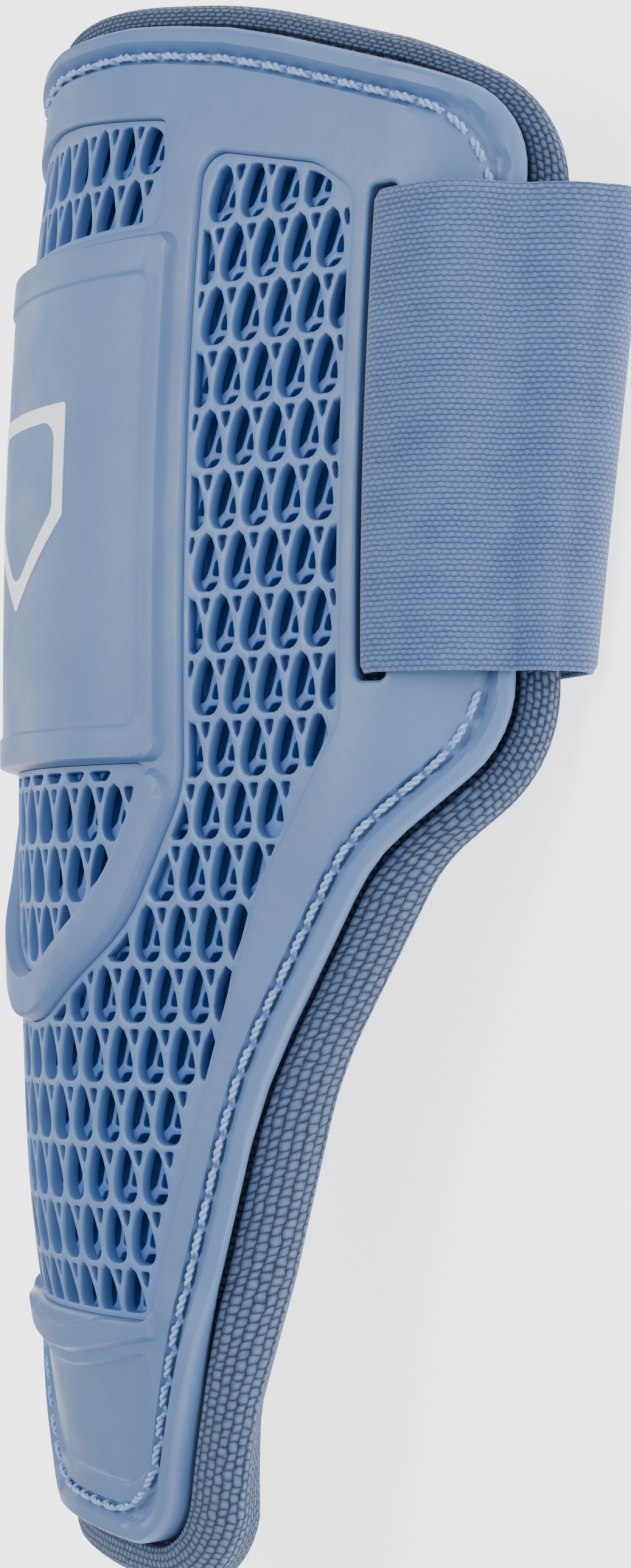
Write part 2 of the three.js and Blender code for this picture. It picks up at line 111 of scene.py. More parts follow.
def section_at(along):
    """Crown, ridge radius, flank angle, flank end and side angle at places along the guard."""
    share = np.asarray(along, float) / SHELL_LENGTH
    places = SECTIONS[:, 0]
    low = np.clip(np.searchsorted(places[1:], share), 0, len(places) - 2)
    step = places[low + 1] - places[low]
    t = np.clip((share - places[low]) / step, 0, 1)[..., None]
    rise = t * t * (3 - 2 * t)
    slopes = np.empty((len(places), 5))
    slopes[1:-1] = (SECTIONS[2:, 1:] - SECTIONS[:-2, 1:]) / (places[2:] - places[:-2])[:, None]
    slopes[0] = (SECTIONS[1, 1:] - SECTIONS[0, 1:]) / (places[1] - places[0])
    slopes[-1] = (SECTIONS[-1, 1:] - SECTIONS[-2, 1:]) / (places[-1] - places[-2])
    value = (1 - rise) * SECTIONS[low, 1:] + rise * SECTIONS[low + 1, 1:]
    value += step[..., None] * t * (1 - t) * ((1 - t) * slopes[low] - t * slopes[low + 1])
    crown, ridge, flank, flank_end, side = np.moveaxis(value, -1, 0)
    ridge = ridge * RIDGE_RADIUS
    flank = np.radians(flank)
    flank_end = np.maximum(flank_end * HALF_SPAN, ridge * flank)
    return crown * CROWN_HEIGHT, ridge, flank, flank_end, np.radians(side)


def bent(points):
    """Flat points (u, v, w) in their places on the curved guard, before it is laid down."""
    u, v, w = np.moveaxis(np.asarray(points, float), -1, 0)
    crown, ridge, flank, flank_end, side = section_at(v)
    across = np.abs(u)
    ridge_arc = np.minimum(across, ridge * flank)
    flank_run = np.minimum(across, flank_end) - ridge_arc
    shoulder_arc = np.clip(across - flank_end, 0, SHOULDER_RADIUS * (side - flank))
    side_run = np.maximum(across - flank_end - shoulder_arc, 0)
    ridge_angle = ridge_arc / ridge
    lean = ridge_angle + shoulder_arc / SHOULDER_RADIUS
    on_shoulder = shoulder_arc > 0
    x = ridge * np.sin(ridge_angle) + flank_run * np.cos(flank) + side_run * np.cos(side) + w * np.sin(lean)
    x += np.where(on_shoulder, SHOULDER_RADIUS * (np.sin(lean) - np.sin(flank)), 0)
    z = crown - ridge * (1 - np.cos(ridge_angle)) - flank_run * np.sin(flank) - side_run * np.sin(side)
    z += w * np.cos(lean) - np.where(on_shoulder, SHOULDER_RADIUS * (np.cos(flank) - np.cos(lean)), 0)
    return np.stack([np.where(u < 0, -x, x), v, z], axis=-1)


# The strap's back passes just below the liner's sides. The guard is laid down on it, where the CAD strap lies
STRAP_LOW = STRAP_MIDDLE - STRAP_WIDTH / 2
STRAP_HIGH = STRAP_MIDDLE + STRAP_WIDTH / 2
LINER_SIDE = bent([HALF_SPAN + LINER_OVER_SIDE, STRAP_LOW, LINER_FLOOR + LINER_EDGE])


def strap_back(along):
    """Level of the underside of the strap's back."""
    return LINER_SIDE[2] - STRAP_SAG - STRAP_THICKNESS - (along - STRAP_LOW) * math.tan(REST_TILT)


REST_TURN = np.array(Matrix.Rotation(REST_TILT, 3, "X"))
REST_SHIFT = np.array([
    0,
    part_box("strap")[1][1] / MM - (REST_TURN @ [0, STRAP_HIGH, strap_back(STRAP_HIGH)])[1],
    -(REST_TURN @ [0, STRAP_MIDDLE, strap_back(STRAP_MIDDLE)])[2],
])


def laid(points):
    """Points of the curved guard in the scene, in metres."""
    return (np.asarray(points) @ REST_TURN.T + REST_SHIFT) * MM


# Camera: where it stands and looks, in the guard's own directions
CAMERA_TARGET = np.array([0, 103.16, 0])
CAMERA_DISTANCE = 526.3
CAMERA_LEAN = math.radians(66)
CAMERA_LENS = 67.64
CAMERA_SHIFT = 0.092
SENSOR = 36


def make_camera():
    outward = np.array([math.sin(CAMERA_LEAN), 0, math.cos(CAMERA_LEAN)])
    right = REST_TURN @ [math.cos(CAMERA_LEAN), 0, -math.sin(CAMERA_LEAN)]
    up = REST_TURN @ [0, 1, 0]
    back = REST_TURN @ outward
    data = bpy.data.cameras.new("camera")
    data.sensor_fit = "VERTICAL"
    data.sensor_width = data.sensor_height = SENSOR
    data.lens = CAMERA_LENS
    data.shift_y = CAMERA_SHIFT
    data.clip_start = 0.01
    camera = bpy.data.objects.new("camera", data)
    bpy.context.scene.collection.objects.link(camera)
    place = laid(CAMERA_TARGET + CAMERA_DISTANCE * outward)
    turn = np.eye(4)
    turn[:3, :3] = np.stack([right, up, back], axis=1)
    turn[:3, 3] = place
    camera.matrix_world = Matrix(turn.tolist())
    bpy.context.scene.camera = camera


make_camera()


# Outlines: corners given as across, along, radius; the right half is written and mirrored
def scaled(corners):
    return [[u * HALF_SPAN, v * SHELL_LENGTH, radius * HALF_SPAN] for u, v, radius in corners]


def mirrored(half):
    left = [[-u, v, radius] for u, v, radius in half if u > 0]
    return half + left[::-1]


def mirrored_away(corners):
    return [[-u, v, radius] for u, v, radius in corners][::-1]


def across_centre(half):
    return [[-u, v, radius] for u, v, radius in half[:-1]] + half[::-1]


def offset_corners(corners, distances):
    """Moves side i, from corner i to the next, outward by its own distance. Rings run clockwise."""
    plan = np.array([corner[:2] for corner in corners], float)
    along = np.roll(plan, -1, axis=0) - plan
    along /= np.linalg.norm(along, axis=1)[:, None]
    outward = np.stack([-along[:, 1], along[:, 0]], axis=1)
    starts = plan + outward * np.asarray(distances, float)[:, None]
    moved = []
    for i, corner in enumerate(corners):
        a, b = along[i - 1], along[i]
        between = starts[i] - starts[i - 1]
        turn = a[0] * b[1] - a[1] * b[0]
        t = (between[0] * b[1] - between[1] * b[0]) / turn
        place = starts[i - 1] + t * a
        radius = corner[2] - math.copysign((distances[i] + distances[i - 1]) / 2, turn)
        moved.append([place[0], place[1], max(radius, 0)])
    return moved


def inset(corners, distance):
    return offset_corners(corners, [-distance] * len(corners))


ARC_STEP = math.radians(9)
LINE_SPACING = 2.0
FINE_SPACING = 1.5
SHARPEST = 0.15
# Most of a side that the round of one of its corners takes up
CORNER_REACH = 0.49


def corner_arc(corners, i, sharpest, steps=None):
    """Points of the rounded corner i, in the given steps or in as many as its turn needs."""
    corner = np.array(corners[i][:2])
    to_before = np.array(corners[i - 1][:2]) - corner
    to_after = np.array(corners[(i + 1) % len(corners)][:2]) - corner
    reach = CORNER_REACH * min(np.linalg.norm(to_before), np.linalg.norm(to_after))
    to_before = to_before / np.linalg.norm(to_before)
    to_after = to_after / np.linalg.norm(to_after)
    half = math.acos(max(-1, min(1, to_before @ to_after))) / 2
    turn = math.pi - 2 * half
    tangent = min(max(corners[i][2], sharpest) / math.tan(half), reach)
    inward = (to_before + to_after) / np.linalg.norm(to_before + to_after)
    centre = corner + inward * tangent / math.cos(half)
    first = corner + tangent * to_before - centre
    last = corner + tangent * to_after - centre
    spoke = np.linalg.norm(first)
    middle = (first + last) / np.linalg.norm(first + last)
    side = (last - first) / np.linalg.norm(last - first)
    steps = steps or max(2, math.ceil(turn / ARC_STEP))
    angles = [(k / steps - 0.5) * turn for k in range(steps + 1)]
    return [centre + spoke * (math.cos(angle) * middle + math.sin(angle) * side) for angle in angles]


def outline(corners, spacing=LINE_SPACING):
    """A closed line round the corners. Offsets of one ring of corners get matching points."""
    arcs = [corner_arc(corners, i, SHARPEST) for i in range(len(corners))]
    return subdivided(np.concatenate(arcs), spacing)


def subdivided(points, spacing):
    after = np.roll(points, -1, axis=0)
    result = []
    for a, b in zip(points, after):
        length = np.linalg.norm(b - a)
        if length < 1e-6:
            continue
        count = max(1, math.ceil(length / spacing))
        result += [a + (b - a) * k / count for k in range(count)]
    return np.array(result)


SHELL_EDGE = mirrored(scaled([
    [0, 1, 1.5],
    [0.43, 0.976, 1.2],
    [1, 0.9, 0.15],
    [1, 0.518, 0.2],
    [0.76, 0.445, 0.4],
    [0.54, 0.304, 1],
    [0.27, 0, 0.14],
]))
TOP_WINDOW = mirrored(scaled([
    [0, 0.939, 0.6],
    [0.322, 0.922, 0.03],
    [0.322, 0.853, 0.03],
]))
RIB_INSIDE = scaled([
    [0.337, 0.509, 0.02],
    [0.23, 0.432, 0.25],
    [0, 0.361, 0.12],
])
RIB_OUTSIDE = scaled([
    [0.398, 0.492, 0.2],
    [0.275, 0.402, 0.3],
    [0, 0.328, 0.15],
])
FLANK_OUTSIDE = scaled([
    [0.398, 0.898, 0.04],
    [0.63, 0.877, 0.1],
    [0.709, 0.855, 0.06],
    [0.709, 0.531, 0.08],
    [0.541, 0.422, 0.3],
    [0.296, 0.15, 0.03],
])
PLATE_EDGE = mirrored(scaled([
    [0.367, 0.848, 0.03],
    [0.367, 0.509, 0.03],
]))
PLATE_FIELD = mirrored(scaled([
    [0.333, 0.824, 0.03],
    [0.333, 0.531, 0.04],
]))
COLLAR_EDGE = mirrored(scaled([
    [0, 0.135, 0.6],
    [0.31, 0.162, 0.01],
    [0.306, 0.139, 0.01],
    [0, 0.115, 0.6],
]))
TAB_EDGE = mirrored(scaled([
    [0, 0.107, 0.6],
    [0.285, 0.131, 0.02],
    [0.255, 0.038, 0.11],
]))
FRONT_WINDOW = mirrored(RIB_INSIDE)
FLANK_WINDOW = FLANK_OUTSIDE + mirrored_away(FLANK_OUTSIDE) + across_centre(RIB_OUTSIDE)
RIB_BAND = RIB_OUTSIDE + across_centre(RIB_OUTSIDE)[:2][::-1] + across_centre(RIB_INSIDE)
WINDOWS = [TOP_WINDOW, FRONT_WINDOW, FLANK_WINDOW]


def slot_corners(side):
    low, high = sorted([side * SLOT_START, side * FLANGE_EDGE])
    v0, v1 = STRAP_LOW - SLOT_SLACK, STRAP_HIGH + SLOT_SLACK
    return [[low, v1, 1.2], [high, v1, 1.2], [high, v0, 1.2], [low, v0, 1.2]]


OPENINGS = WINDOWS + [slot_corners(side) for side in (-1, 1)]


# Distances to outlines in the flat guard
def depth_inside(points, ring, chunk=4000):
    """How far each point lies inside a closed line; negative outside."""
    after = np.roll(ring, -1, axis=0)
    side = after - ring
    length2 = np.maximum((side ** 2).sum(1), 1e-12)
    result = np.empty(len(points))
    for first in range(0, len(points), chunk):
        p = points[first:first + chunk, None, :]
        t = np.clip(((p - ring) * side).sum(2) / length2, 0, 1)
        near = np.sqrt((((ring + t[..., None] * side) - p) ** 2).sum(2).min(1))
        crosses = (ring[:, 1] > p[..., 1]) != (after[:, 1] > p[..., 1])
        with np.errstate(divide="ignore", invalid="ignore"):
            hit = side[:, 0] * (p[..., 1] - ring[:, 1]) / side[:, 1] + ring[:, 0]
        inside = (crosses & (p[..., 0] < hit)).sum(1) % 2 == 1
        result[first:first + chunk] = np.where(inside, near, -near)
    return result


def smooth_step(x):
    t = np.clip(x, 0, 1)
    return t * t * (3 - 2 * t)


# How far each feature of the shell's face takes to rise or fall
BEAD_START = 0.25
BEAD_RISE_RUN = 1.1
BEAD_FALL_START = 0.1
BEAD_FALL_RUN = 1.0
GROOVE_RUN = 0.7
FIELD_RUN = 0.7
RIB_RUN = 1.3 * SOFT_EDGE
TAB_RUN = 0.6
WINDOW_ROUND = 0.9
WINDOW_DROP = 0.6


def face_height(points):
    """Height of the shell's face over the flat guard."""
    edge, plate, field, rib, collar, tab = [
        depth_inside(points, outline(ring))
        for ring in (SHELL_EDGE, PLATE_EDGE, PLATE_FIELD, RIB_BAND, COLLAR_EDGE, TAB_EDGE)
    ]
    bead_end = BEAD_WIDTH + BEAD_FALL_START
    groove_end = BEAD_WIDTH + GROOVE_WIDTH
    bead = smooth_step((edge + BEAD_START) / BEAD_RISE_RUN) * smooth_step((bead_end - edge) / BEAD_FALL_RUN)
    groove = smooth_step((edge - BEAD_WIDTH) / GROOVE_RUN) * smooth_step((groove_end - edge) / GROOVE_RUN)
    plate_height = PLATE_RISE * smooth_step(plate / SOFT_EDGE) - FIELD_DEPTH * smooth_step(field / FIELD_RUN)
    rib_height = RIB_RISE * smooth_step(rib / RIB_RUN)
    collar_height = COLLAR_RISE * smooth_step(collar / SOFT_EDGE)
    height = BEAD_HEIGHT * bead - GROOVE_DEPTH * groove
    raised = np.maximum(np.maximum(plate_height, rib_height), collar_height)
    height = np.where(raised > 0, np.maximum(raised, height), height)
    height = height - TAB_DEPTH * smooth_step(tab / TAB_RUN)
    for window in OPENINGS:
        away = -depth_inside(points, outline(window))
        rounding = 1 - np.clip(away / WINDOW_ROUND, 0, 1)
        height = height - WINDOW_DROP * (1 - np.sqrt(1 - rounding ** 2))
    return height


# Mesh helpers
def triangulated(rings, extra, keep):
    """Triangles of the flat region that keep() accepts, with the rings as edges between the extra points."""
    points, edges = [], []
    for ring in rings:
        first = len(points)
        points += [Vector(p) for p in ring.tolist()]
        edges += [(first + k, first + (k + 1) % len(ring)) for k in range(len(ring))]
    points += [Vector(p) for p in extra.tolist()]
    out, _, faces, *_ = delaunay_2d_cdt(points, edges, [], 0, 1e-4, False)
    flat = np.array([p[:] for p in out])
    faces = np.array(faces)
    faces = faces[keep(flat[faces].mean(axis=1))]
    used = np.unique(faces)
    order = np.full(len(flat), -1)
    order[used] = np.arange(len(used))
    return flat[used], order[faces]


def border_edges(faces):
    """Directed border edges of a triangle mesh."""
    edges = np.concatenate([faces[:, [0, 1]], faces[:, [1, 2]], faces[:, [2, 0]]]).tolist()
    present = {tuple(edge) for edge in edges}
    return [edge for edge in edges if (edge[1], edge[0]) not in present]


def slab_faces(faces, count):
    """Faces of a plate from its flat triangles on count points: top, underside and the walls between them."""
    walls = [(b, a, a + count, b + count) for a, b in border_edges(faces)]
    return [tuple(face) for face in faces] + [tuple(face)[::-1] for face in faces + count] + walls


def with_level(line, level):
    return np.column_stack([line, np.full(len(line), level)])


def unit_rows(vectors):
    return vectors / np.linalg.norm(vectors, axis=1)[:, None]


def run_lengths(line):
    """Distance along a line to each of its points."""
    return np.concatenate([[0], np.cumsum(np.linalg.norm(np.diff(line, axis=0), axis=1))])


SHARP_EDGE = math.radians(38)
SHARP_JOINED_EDGE = math.radians(60)
JOIN_DISTANCE = 1e-6


def add_piece(name, points, faces, material, uv=None, sharp=SHARP_EDGE):
    """A mesh object from points in metres; uv holds one pair for each point, in millimetres."""
    mesh = bpy.data.meshes.new(name)
    mesh.from_pydata(np.asarray(points).tolist(), [], [tuple(face) for face in faces])
    mesh.validate()
    mesh.shade_smooth()
    if sharp is not None:
        mesh.set_sharp_from_angle(angle=sharp)
    if uv is not None:
        layer = mesh.uv_layers.new(name="millimetres")
        corners = np.empty(len(mesh.loops), dtype=np.int32)
        mesh.loops.foreach_get("vertex_index", corners)
        layer.data.foreach_set("uv", np.asarray(uv, float)[corners].ravel())
    mesh.materials.append(material)
    piece = bpy.data.objects.new(name, mesh)
    bpy.context.scene.collection.objects.link(piece)
    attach(piece, "root")
    return piece


def join_close_points(piece, distance):
    mesh = bmesh.new()
    mesh.from_mesh(piece.data)
    bmesh.ops.remove_doubles(mesh, verts=mesh.verts, dist=distance)
    bmesh.ops.recalc_face_normals(mesh, faces=mesh.faces)
    mesh.to_mesh(piece.data)
    mesh.free()
    piece.data.set_sharp_from_angle(angle=SHARP_JOINED_EDGE)


def closed_strip(row_count, count):
    """Quads between closed rows of count points each."""
    faces = []
    for j in range(row_count - 1):
        for i in range(count):
            k = (i + 1) % count
            faces.append((j * count + i, j * count + k, (j + 1) * count + k, (j + 1) * count + i))
    return faces


# Materials
def colour(red, green, blue):
    """Linear colour of a screen colour from 0 to 255."""
    def linear(value):
        share = value / 255
        return share / 12.92 if share <= 0.04045 else ((share + 0.055) / 1.055) ** 2.4
    return (linear(red), linear(green), linear(blue), 1)


class Nodes:
    """Short calls for making and joining a material's nodes."""

    def __init__(self, name, base, roughness):
        self.material = bpy.data.materials.new(name)
        self.material.use_nodes = True
        self.tree = self.material.node_tree
        self.shader = self.tree.nodes["Principled BSDF"]
        self.set("Base Color", base)
        self.set("Roughness", roughness)

    def add(self, kind, settings=None, **inputs):
        node = self.tree.nodes.new(kind)
        for key, value in (settings or {}).items():
            setattr(node, key, value)
        for key, value in inputs.items():
            socket = node.inputs[int(key[1:])] if key[0] == "i" and key[1:].isdigit() else node.inputs[key]
            if isinstance(value, bpy.types.NodeSocket):
                self.tree.links.new(value, socket)
            else:
                socket.default_value = value
        return node

    def math(self, operation, first, second=0.0):
        return self.add("ShaderNodeMath", {"operation": operation}, i0=first, i1=second).outputs[0]

    def plus(self, first, second):
        return self.math("ADD", first, second)

    def times(self, first, second):
        return self.math("MULTIPLY", first, second)

    def over(self, first, second):
        return self.math("DIVIDE", first, second)

    def mix(self, factor, first, second):
        return self.add("ShaderNodeMix", {"data_type": "RGBA"}, i0=factor, i6=first, i7=second).outputs[2]

    def place(self):
        return self.add("ShaderNodeTexCoord").outputs["Object"]

    def noise(self, vector, scale, detail=3.0, roughness=0.5):
        return self.add(
            "ShaderNodeTexNoise", None, Vector=vector, Scale=scale, Detail=detail, Roughness=roughness,
        ).outputs[0]

    def ramp(self, value, low, high, out_low=0.0, out_high=1.0):
        node = self.add("ShaderNodeMapRange", None, i0=value, i1=low, i2=high, i3=out_low, i4=out_high)
        return node.outputs[0]

    def bump(self, height, distance, strength=1.0, normal=None):
        node = self.add("ShaderNodeBump", None, Height=height, Distance=distance, Strength=strength)
        if normal is not None:
            self.tree.links.new(normal, node.inputs["Normal"])
        return node.outputs[0]

    def set(self, socket, value):
        self.shader.inputs[socket].default_value = value

    def link(self, value, socket):
        self.tree.links.new(value, self.shader.inputs[socket])


def rubber(name, light, dark, roughness, painted_pit_shade=None):
    """Satin rubber with fine grain; the last colour, if given, is painted shade that the colour turns to
    towards the bottom of the cells.
    """
    nodes = Nodes(name, light, roughness)
    place = nodes.place()
    cloud = nodes.noise(place, 28.0, 4.0)
    face = nodes.mix(nodes.ramp(cloud, 0.3, 0.7), dark, light)
    # Painted shade: by the depth attribute the colour turns darker and bluer towards the bottom of the cells,
    # where shade falls between their walls.
    if painted_pit_shade is not None:
        depth = nodes.add("ShaderNodeAttribute", {"attribute_name": "depth"}).outputs["Fac"]
        face = nodes.mix(nodes.ramp(depth, 0.02, 0.7), face, painted_pit_shade)
    nodes.link(face, "Base Color")
    grain = nodes.noise(place, 2600.0, 2.0)
    soft = nodes.noise(place, 420.0, 2.0)
    fine = nodes.bump(grain, 0.00006, 0.55)
    nodes.link(nodes.bump(soft, 0.0002, 0.35, fine), "Normal")
    wear = nodes.ramp(nodes.noise(place, 90.0, 5.0), 0.35, 0.7, roughness - 0.07, roughness + 0.1)
    nodes.link(wear, "Roughness")
    nodes.set("Specular IOR Level", 0.45)
    return nodes.material


def woven(name, light, dark, pitch):
    """Bundles of flat yarn crossing over and under, laid out in millimetres."""
    nodes = Nodes(name, light, 0.92)
    uv = nodes.add("ShaderNodeUVMap").outputs[0]
    split = nodes.add("ShaderNodeSeparateXYZ", None, Vector=uv)
    wobble = nodes.ramp(nodes.noise(uv, 0.35, 2.0), 0.0, 1.0, -0.9, 0.9)
    along = nodes.over(nodes.plus(split.outputs[0], wobble), pitch * 1.25)
    across = nodes.over(nodes.plus(split.outputs[1], nodes.times(wobble, 0.5)), pitch)
    row = nodes.math("FLOOR", across)
    turned = nodes.plus(along, nodes.times(row, 0.5))
    bundle_along = nodes.math("ABSOLUTE", nodes.math("SINE", nodes.times(turned, math.pi)))
    bundle_across = nodes.math("ABSOLUTE", nodes.math("SINE", nodes.times(across, math.pi)))
    crown = nodes.times(nodes.math("POWER", bundle_along, 0.45), nodes.math("POWER", bundle_across, 0.5))
    strands = nodes.math("SINE", nodes.times(across, 8 * math.pi))
    fibre = nodes.noise(uv, 5.0, 3.0)
    height = nodes.plus(crown, nodes.times(strands, 0.05))
    height = nodes.plus(height, nodes.times(fibre, 0.35))
    patch = nodes.noise(uv, 0.9, 3.0)
    # Painted shade: the colour darkens from the yarn crowns into the gaps between the bundles, where shade
    # falls; the patch noise adds uneven tone of the cloth itself.
    painted_gap_shade_and_patches = nodes.plus(nodes.ramp(height, 0.35, 1.25), nodes.ramp(patch, 0.3, 0.7, -0.15, 0.15))
    nodes.link(nodes.mix(painted_gap_shade_and_patches, dark, light), "Base Color")
    nodes.link(nodes.bump(height, 0.0005, 1.0), "Normal")
    nodes.set("Sheen Weight", 0.15)
    nodes.set("Specular IOR Level", 0.2)
    return nodes.material


def knitted(name, light, dark, pitch_across, pitch_along):
    """Rows of small loops with tiny holes between them, laid out in millimetres. The gaps between loops and
    the holes are darkened with painted shade.
    """
    nodes = Nodes(name, light, 0.85)
    uv = nodes.add("ShaderNodeUVMap").outputs[0]
    split = nodes.add("ShaderNodeSeparateXYZ", None, Vector=uv)
    drift = nodes.ramp(nodes.noise(uv, 0.5, 3.0), 0.0, 1.0, -0.5, 0.5)
    rows = nodes.over(nodes.plus(split.outputs[1], nodes.times(drift, 0.5)), pitch_along)
    row = nodes.math("FLOOR", rows)
    shift = nodes.times(nodes.math("MODULO", row, 2.0), 0.5)
    columns = nodes.plus(nodes.over(nodes.plus(split.outputs[0], drift), pitch_across), shift)
    wave_across = nodes.math("SINE", nodes.times(columns, 2 * math.pi))
    bloom = nodes.noise(uv, 0.12, 2.0)
    wave_along = nodes.math("ABSOLUTE", nodes.math("SINE", nodes.times(rows, math.pi)))
    loops = nodes.plus(nodes.times(wave_across, 0.35), wave_along)
    speck = nodes.noise(uv, 1.4, 4.0, 0.7)
    fuzz = nodes.noise(uv, 4.5, 3.0, 0.6)
    height = nodes.plus(loops, nodes.times(fuzz, 1.1))
    hole = nodes.times(nodes.ramp(wave_along, 0.0, 0.42, 1.0, 0.0), nodes.ramp(wave_across, 0.1, 0.9))
    hole = nodes.times(hole, nodes.ramp(speck, 0.4, 0.55))
    # Painted shade: the colour darkens from the loops' tops into the gaps between them; the bloom noise adds
    # uneven tone of the yarn itself.
    painted_gap_shade_and_patches = nodes.plus(nodes.ramp(height, 0.3, 1.7), nodes.ramp(bloom, 0.3, 0.7, -0.12, 0.12))
    loop_shade_and_mottle = nodes.mix(painted_gap_shade_and_patches, dark, light)
    # Painted shade: the holes are coloured near-black for the shade inside them.
    painted_hole_shade = tuple(0.2 * channel for channel in dark[:3]) + (1,)
    nodes.link(nodes.mix(hole, loop_shade_and_mottle, painted_hole_shade), "Base Color")
    sunk = nodes.math("SUBTRACT", height, nodes.times(hole, 1.5))
    nodes.link(nodes.bump(sunk, 0.00016, 0.8), "Normal")
    nodes.set("Sheen Weight", 0.3)
    nodes.set("Specular IOR Level", 0.2)
    return nodes.material


def thread_material(name, light, dark):
    nodes = Nodes(name, light, 0.6)
    place = nodes.place()
    fibre = nodes.noise(place, 3500.0, 2.0)
    nodes.link(nodes.mix(nodes.ramp(fibre, 0.3, 0.7), dark, light), "Base Color")
    nodes.link(nodes.bump(fibre, 0.00008, 0.6), "Normal")
    nodes.set("Sheen Weight", 0.2)
    return nodes.material


def floor_material():
    nodes = Nodes("floor_paper", colour(238, 238, 238), 0.9)
    place = nodes.place()
    fleck = nodes.noise(place, 60.0, 3.0)
    nodes.link(nodes.mix(fleck, colour(236, 236, 237), colour(241, 241, 242)), "Base Color")
    nodes.set("Specular IOR Level", 0.1)
    nodes.set("Emission Color", (1, 1, 1, 1))
    nodes.set("Emission Strength", 2.15)
    return nodes.material


SHELL_RUBBER = rubber("shell_satin_rubber", colour(84, 112, 154), colour(74, 102, 146), 0.46)
# The lattice rubber's last colour is painted shade for the bottoms of the cells.
LATTICE_RUBBER = rubber(
    "lattice_satin_rubber", colour(88, 118, 164), colour(78, 108, 156), 0.44, colour(50, 90, 156),
)
LINER_CLOTH = woven("liner_basket_weave", colour(92, 116, 154), colour(26, 38, 62), 1.35)
STRAP_KNIT = knitted("strap_knit_elastic", colour(84, 110, 154), colour(38, 60, 102), 1.15, 0.85)
STITCH_THREAD = thread_material("stitch_thread", colour(150, 182, 226), colour(96, 130, 184))
PRINT_WHITE = rubber("emblem_white_print", colour(236, 238, 240), colour(222, 226, 232), 0.5)


def offsets(corners, distances, spacing=LINE_SPACING):
    return [outline(inset(corners, distance), spacing) for distance in distances]


# Spread of the meshes' grids past the guard's edge, and the height of a triangle of their staggered rows
GRID_OVER = 2
GRID_ROW = 0.87


def grid_points(spacing, near, gap):
    """Points of a staggered grid that keep off the given rings."""
    rows = np.arange(-GRID_OVER, SHELL_LENGTH + GRID_OVER + 1, spacing * GRID_ROW)
    columns = np.arange(-HALF_SPAN - GRID_OVER, HALF_SPAN + GRID_OVER + 1, spacing)
    grid = np.array([[u + (k % 2) * spacing / 2, v] for k, v in enumerate(rows) for u in columns])
    taken = {}
    for p in np.concatenate(near):
        taken.setdefault((math.floor(p[0] / spacing), math.floor(p[1] / spacing)), []).append(p)
    kept = []
    for p in grid:
        i, j = math.floor(p[0] / spacing), math.floor(p[1] / spacing)
        close = [q for a in (-1, 0, 1) for b in (-1, 0, 1) for q in taken.get((i + a, j + b), ())]
        if not close or ((np.array(close) - p) ** 2).sum(1).min() > gap * gap:
            kept.append(p)
    return np.array(kept)


# Shell. The mesh has a ring of points at each of these distances in from an outline
RIM_RINGS = [0, 0.25, 0.5, 0.85, 1.4, 2.2, 2.7, 3.1, 3.4, 3.7, 4.0, 4.3, 5.5, 5.8, 6.2, 7.0]
WINDOW_RINGS = [0, -0.12, -0.3, -0.6, -0.95]
FEATURE_RINGS = [
    (PLATE_EDGE, [0, 0.25, 0.5, 0.9, 1.4]),
    (PLATE_FIELD, [0, 0.25, 0.5, 0.8]),
    (RIB_BAND, [0, 0.3, 0.6, 0.9, 1.2]),
    (COLLAR_EDGE, [0, 0.25, 0.5, 0.9]),
    (TAB_EDGE, [0, 0.2, 0.4, 0.7]),
]
SHELL_GRID = 2.2
SHELL_GRID_GAP = 0.9


def make_shell():
    rings = offsets(SHELL_EDGE, RIM_RINGS)
    for corners, distances in FEATURE_RINGS:
        rings += offsets(corners, distances)
    for window in OPENINGS:
        rings += offsets(window, WINDOW_RINGS)
    edge = outline(SHELL_EDGE)
    holes = [outline(window) for window in OPENINGS]

    def keep(middles):
        inside = depth_inside(middles, edge) > 0
        for hole in holes:
            inside &= depth_inside(middles, hole) < 0
        return inside

    flat, faces = triangulated(rings, grid_points(SHELL_GRID, rings, SHELL_GRID_GAP), keep)
    points = np.concatenate([np.column_stack([flat, face_height(flat)]), with_level(flat, -SHELL_THICKNESS)])
    every = slab_faces(faces, len(flat))
    piece = add_piece("shell_skin", laid(bent(points)), every, SHELL_RUBBER, np.concatenate([flat, flat]))
    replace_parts(piece, "shell")


make_shell()


# Honeycomb panels: rows of drop-shaped cells with a small wedge cell under each flat foot.
# Each panel has two layers. The upper one is cut through, and the lower one is the same pattern turned round.
CELL_ACROSS = 6.2
CELL_ALONG = 10
FIRST_FOOT = 37.4
CELL_OUTLINE = np.array([
    [-1.45, 0.0], [1.45, 0.0], [2.6, 1.35], [2.78, 3.0], [2.5, 5.0], [1.75, 7.6], [1.25, 8.9], [0.75, 9.65],
    [0, 9.9], [-0.75, 9.65], [-1.25, 8.9], [-1.75, 7.6], [-2.5, 5.0], [-2.78, 3.0], [-2.6, 1.35],
])
WEDGE_OUTLINE = np.array([
    [-1.0, -0.95], [-1.05, -1.35], [-0.5, -3.2], [-0.2, -3.75], [0.2, -3.75], [0.5, -3.2], [1.05, -1.35],
    [1.0, -0.95], [0.7, -0.75], [-0.7, -0.75],
])
LAYER_DROP = 2.2
LOWER_SHIFT = np.array([0.8, 2.0])
# Steps down into a cell: distance in from its mouth, depth below the layer's face
UPPER_STEPS = [(0, 0), (0.08, 0.04), (0.18, 0.2), (0.24, 0.6), (0.32, LAYER_DROP + 0.1)]
LOWER_STEPS = [(0, 0), (0.1, 0.05), (0.2, 0.25), (0.32, 1.7), (0.7, 2.1)]
WEDGE_STEPS = [(0, 0), (0.06, 0.04), (0.12, 0.16), (0.18, 1.3), (0.3, 1.8)]
DEEPEST = LAYER_DROP + LOWER_STEPS[-1][1]
FLOOR_DIP = 0.05
CELL_SPOKES = 28
WEDGE_SPOKES = 16
